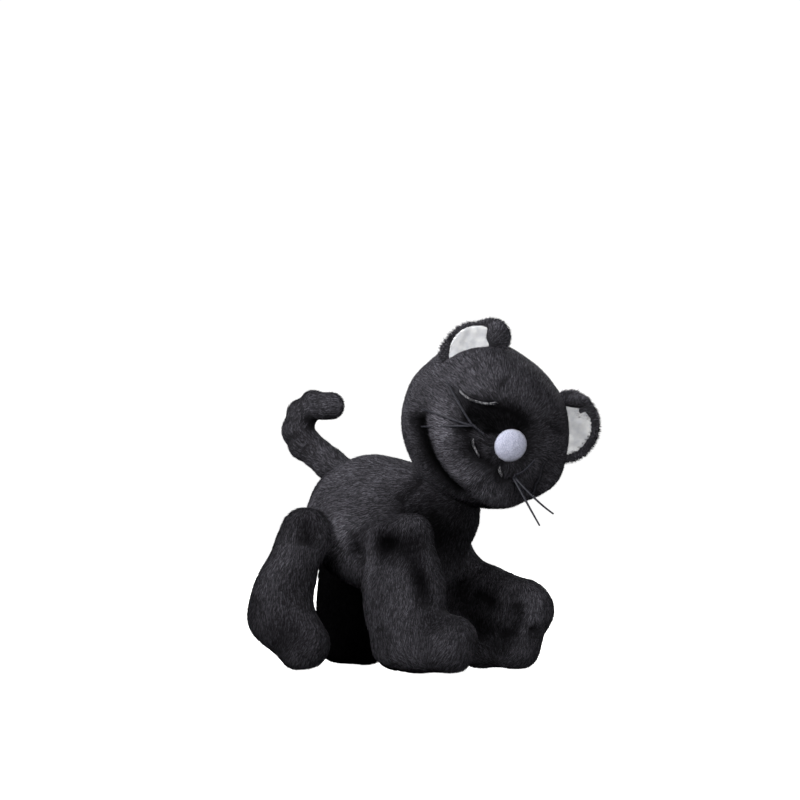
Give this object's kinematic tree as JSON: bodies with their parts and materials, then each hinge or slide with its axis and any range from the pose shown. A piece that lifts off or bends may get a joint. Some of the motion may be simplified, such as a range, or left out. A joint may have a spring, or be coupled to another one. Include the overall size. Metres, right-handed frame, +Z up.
{
  "type": "plush cat",
  "caption": "Soft black plush cat standing on four big floppy paws, head turned and tilted, with a curled tail, pale ear linings and closed stitched eyes.",
  "frame": {"origin": "on the floor, at the middle of the box round the standing cat", "axes": "+X the way the cat walks, +Y its left, +Z up"},
  "size_m": [0.2095, 0.1338, 0.2352],
  "materials": {
    "plush": "short black plush pile, soft sheen",
    "plush_under": "short black plush pile",
    "lining": "white satin",
    "nose": "short lilac-grey velour",
    "thread": "glossy embroidery thread",
    "fibre": "loose polyester fibre",
    "pellet_cloth": "thin woven bag full of pellets"
  },
  "bodies": {
    "torso": {"torso_side_right": "plush", "torso_side_left": "plush", "belly_panel": "plush_under", "torso_stuffing": "fibre", "belly_pellet_bag": "pellet_cloth"},
    "neck": {"neck_stuffing": "fibre"},
    "head": {"crown_panel": "plush", "nape_panel": "plush", "chin_panel": "plush", "cheek_right": "plush", "cheek_left": "plush", "head_stuffing": "fibre", "nose": "nose", "eye_right": "thread", "eye_left": "thread", "mouth": "thread", "whiskers_right": "thread", "whiskers_left": "thread"},
    "ear_right": {"ear_right_back": "plush", "ear_right_lining": "lining"},
    "ear_left": {"ear_left_back": "plush", "ear_left_lining": "lining"},
    "fore_right_leg": {"fore_right_leg_outer": "plush", "fore_right_leg_inner": "plush", "fore_right_leg_stuffing": "fibre"},
    "fore_right_paw": {"fore_right_paw_cover": "plush", "fore_right_paw_sole": "plush_under", "fore_right_paw_pellets": "pellet_cloth"},
    "fore_left_leg": {"fore_left_leg_outer": "plush", "fore_left_leg_inner": "plush", "fore_left_leg_stuffing": "fibre"},
    "fore_left_paw": {"fore_left_paw_cover": "plush", "fore_left_paw_sole": "plush_under", "fore_left_paw_pellets": "pellet_cloth"},
    "hind_right_leg": {"hind_right_leg_outer": "plush", "hind_right_leg_inner": "plush", "hind_right_leg_stuffing": "fibre"},
    "hind_right_paw": {"hind_right_paw_cover": "plush", "hind_right_paw_sole": "plush_under", "hind_right_paw_pellets": "pellet_cloth"},
    "hind_left_leg": {"hind_left_leg_outer": "plush", "hind_left_leg_inner": "plush", "hind_left_leg_stuffing": "fibre"},
    "hind_left_paw": {"hind_left_paw_cover": "plush", "hind_left_paw_sole": "plush_under", "hind_left_paw_pellets": "pellet_cloth"},
    "tail_base": {"tail_base_cover": "plush", "tail_base_stuffing": "fibre"},
    "tail_middle": {"tail_middle_cover": "plush", "tail_middle_stuffing": "fibre"},
    "tail_tip": {"tail_tip_cover": "plush", "tail_tip_stuffing": "fibre"}
  },
  "joints": [
    {"name": "neck_nod", "type": "hinge", "parent": "torso", "child": "neck", "pos_m": [0.01987, 0, 0.117], "axis": [0, 1, 0], "range_deg": [-15, 15]},
    {"name": "head_turn", "type": "hinge", "parent": "neck", "child": "head", "pos_m": [0.01987, 0, 0.117], "axis": [0, 0, 1], "range_deg": [-25, 25]},
    {"name": "ear_right_fold", "type": "hinge", "parent": "head", "child": "ear_right", "pos_m": [0.05207, -0.01768, 0.21646], "axis": [0.7052, 0.6799, 0.2013], "range_deg": [-22, 18]},
    {"name": "ear_left_fold", "type": "hinge", "parent": "head", "child": "ear_left", "pos_m": [0.0884, 0.03976, 0.16774], "axis": [-0.1351, 0.2214, -0.9658], "range_deg": [-22, 18]},
    {"name": "fore_right_shoulder", "type": "hinge", "parent": "torso", "child": "fore_right_leg", "pos_m": [0.008, -0.0471, 0.082], "axis": [0, -1, 0], "range_deg": [-15, 40]},
    {"name": "fore_right_wrist", "type": "hinge", "parent": "fore_right_leg", "child": "fore_right_paw", "pos_m": [0.014, -0.0471, 0.044], "axis": [0, -1, 0], "range_deg": [-18, 18]},
    {"name": "fore_left_shoulder", "type": "hinge", "parent": "torso", "child": "fore_left_leg", "pos_m": [0.008, 0.0471, 0.082], "axis": [0, -1, 0], "range_deg": [-15, 40]},
    {"name": "fore_left_wrist", "type": "hinge", "parent": "fore_left_leg", "child": "fore_left_paw", "pos_m": [0.022, 0.0471, 0.05], "axis": [0, -1, 0], "range_deg": [-18, 18]},
    {"name": "hind_right_hip", "type": "hinge", "parent": "torso", "child": "hind_right_leg", "pos_m": [-0.065, -0.0471, 0.092], "axis": [0, -1, 0], "range_deg": [-35, 15]},
    {"name": "hind_right_ankle", "type": "hinge", "parent": "hind_right_leg", "child": "hind_right_paw", "pos_m": [-0.079, -0.0471, 0.046], "axis": [0, -1, 0], "range_deg": [-18, 18]},
    {"name": "hind_left_hip", "type": "hinge", "parent": "torso", "child": "hind_left_leg", "pos_m": [-0.065, 0.0471, 0.092], "axis": [0, -1, 0], "range_deg": [-35, 15]},
    {"name": "hind_left_ankle", "type": "hinge", "parent": "hind_left_leg", "child": "hind_left_paw", "pos_m": [-0.079, 0.0471, 0.046], "axis": [0, -1, 0], "range_deg": [-18, 18]},
    {"name": "tail_wag", "type": "hinge", "parent": "torso", "child": "tail_base", "pos_m": [-0.0665, 0, 0.141], "axis": [0, 0, 1], "range_deg": [-30, 30]},
    {"name": "tail_bend", "type": "hinge", "parent": "tail_base", "child": "tail_middle", "pos_m": [-0.086, 0, 0.151], "axis": [0, -1, 0], "range_deg": [-22, 22]},
    {"name": "tail_uncurl", "type": "hinge", "parent": "tail_middle", "child": "tail_tip", "pos_m": [-0.0945, 0, 0.171], "axis": [0, -1, 0], "range_deg": [0, 60]}
  ]
}
